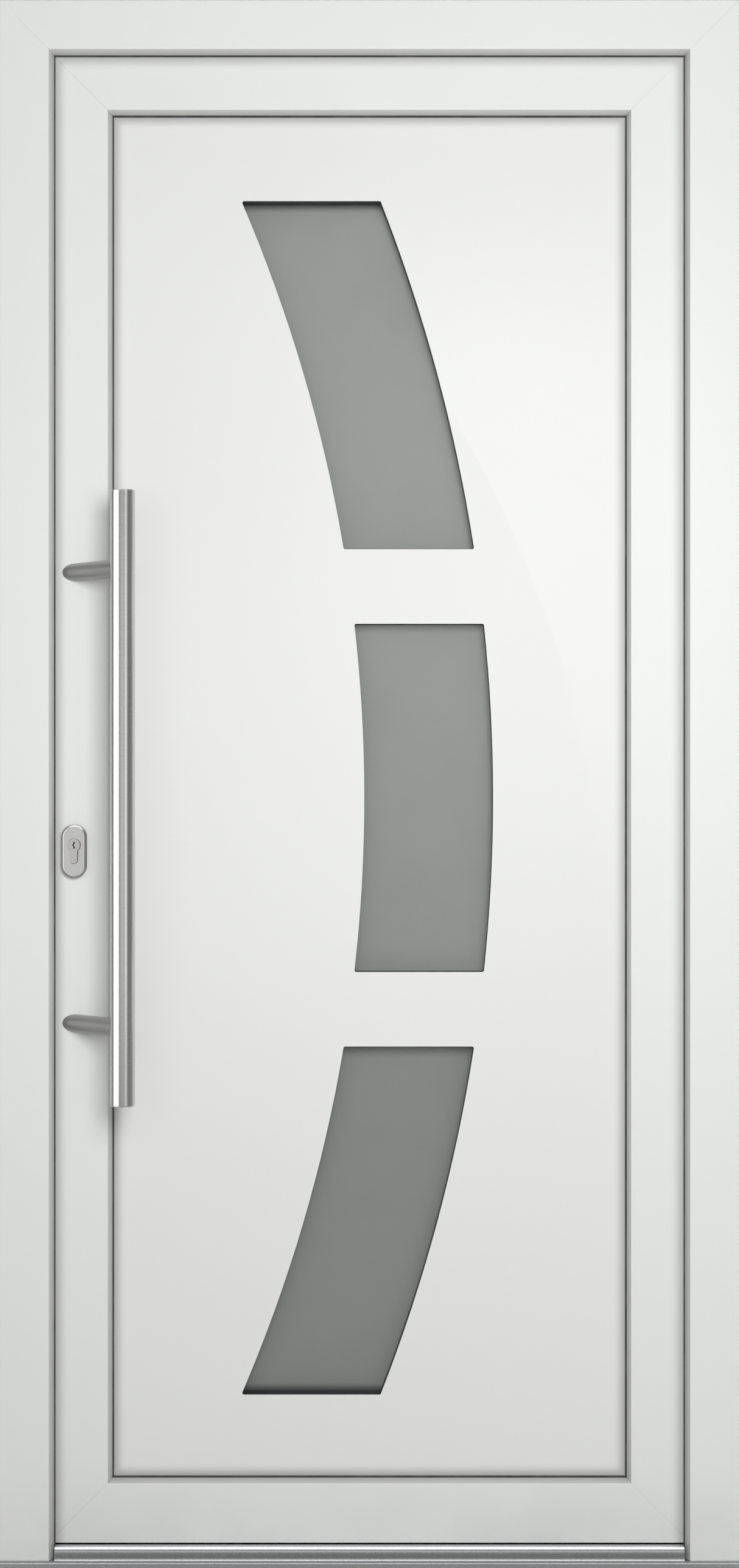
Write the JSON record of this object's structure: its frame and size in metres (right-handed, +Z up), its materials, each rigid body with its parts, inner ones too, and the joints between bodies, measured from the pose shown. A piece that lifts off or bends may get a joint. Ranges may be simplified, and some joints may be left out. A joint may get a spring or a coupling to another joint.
{
  "type": "white pvc front door set with frame",
  "caption": "White uPVC front door in its frame: mitred leaf with a flat panel and lights cut along an arc, offset pull bar, profile cylinder, inside lever and low threshold.",
  "frame": {"origin": "middle of the sill rail's underside, in the plane of the frame's outer face", "axes": "+X to the right seen from outside, +Y into the room, +Z up"},
  "size_m": [0.99, 0.2133, 2.1],
  "materials": {
    "upvc_white": "smooth white uPVC, slightly satin",
    "panel_white": "smooth white panel skin",
    "panel_foam": "rigid foam core",
    "gasket_black": "black sealing rubber",
    "glass_obscure": "satin obscured glass",
    "stainless": "brushed stainless steel",
    "aluminium_mill": "satin anodised aluminium",
    "nickel": "satin nickel plate",
    "thermal_break": "dark grey polyamide"
  },
  "bodies": {
    "frame": {"frame_lock_jamb": "upvc_white", "frame_hinge_jamb": "upvc_white", "frame_head": "upvc_white", "frame_gasket": "gasket_black", "sill_rail": "aluminium_mill", "threshold_outer": "aluminium_mill", "threshold_break": "thermal_break", "threshold_inner": "aluminium_mill", "strike_plate_upper": "stainless", "strike_plate_middle": "stainless", "strike_plate_lower": "stainless", "hinge_upper_frame_part": "upvc_white", "hinge_middle_frame_part": "upvc_white", "hinge_lower_frame_part": "upvc_white"},
    "leaf": {"leaf_lock_stile": "upvc_white", "leaf_hinge_stile": "upvc_white", "leaf_top_rail": "upvc_white", "leaf_bottom_rail": "upvc_white", "leaf_gasket": "gasket_black", "leaf_bottom_brush": "gasket_black", "bead_lock_side": "upvc_white", "bead_hinge_side": "upvc_white", "bead_top": "upvc_white", "bead_bottom": "upvc_white", "panel_outer_skin": "panel_white", "panel_core": "panel_foam", "panel_inner_skin": "panel_white", "panel_outer_gasket": "gasket_black", "panel_inner_gasket": "gasket_black", "outer_panes": "glass_obscure", "pane_spacers": "thermal_break", "inner_panes": "glass_obscure", "pull_bar": "stainless", "pull_bar_caps": "stainless", "pull_post_upper": "stainless", "pull_post_lower": "stainless", "escutcheon_outer": "stainless", "escutcheon_inner": "stainless", "cylinder_body": "nickel", "cylinder_plug_inner": "nickel", "lever_rose": "stainless", "lever": "stainless", "lock_faceplate": "stainless", "lock_bolts": "nickel", "hinge_upper_leaf_part": "upvc_white", "hinge_middle_leaf_part": "upvc_white", "hinge_lower_leaf_part": "upvc_white"},
    "plug": {"cylinder_plug": "nickel"}
  },
  "joints": [
    {"name": "leaf_hinge", "type": "hinge", "parent": "frame", "child": "leaf", "pos_m": [0.456, 0.1, 1.033], "axis": [0, 0, -1], "range_deg": [0, 110]},
    {"name": "plug_turn", "type": "hinge", "parent": "leaf", "child": "plug", "pos_m": [-0.3966, 0.003, 0.968], "axis": [0, -1, 0], "continuous": true}
  ]
}
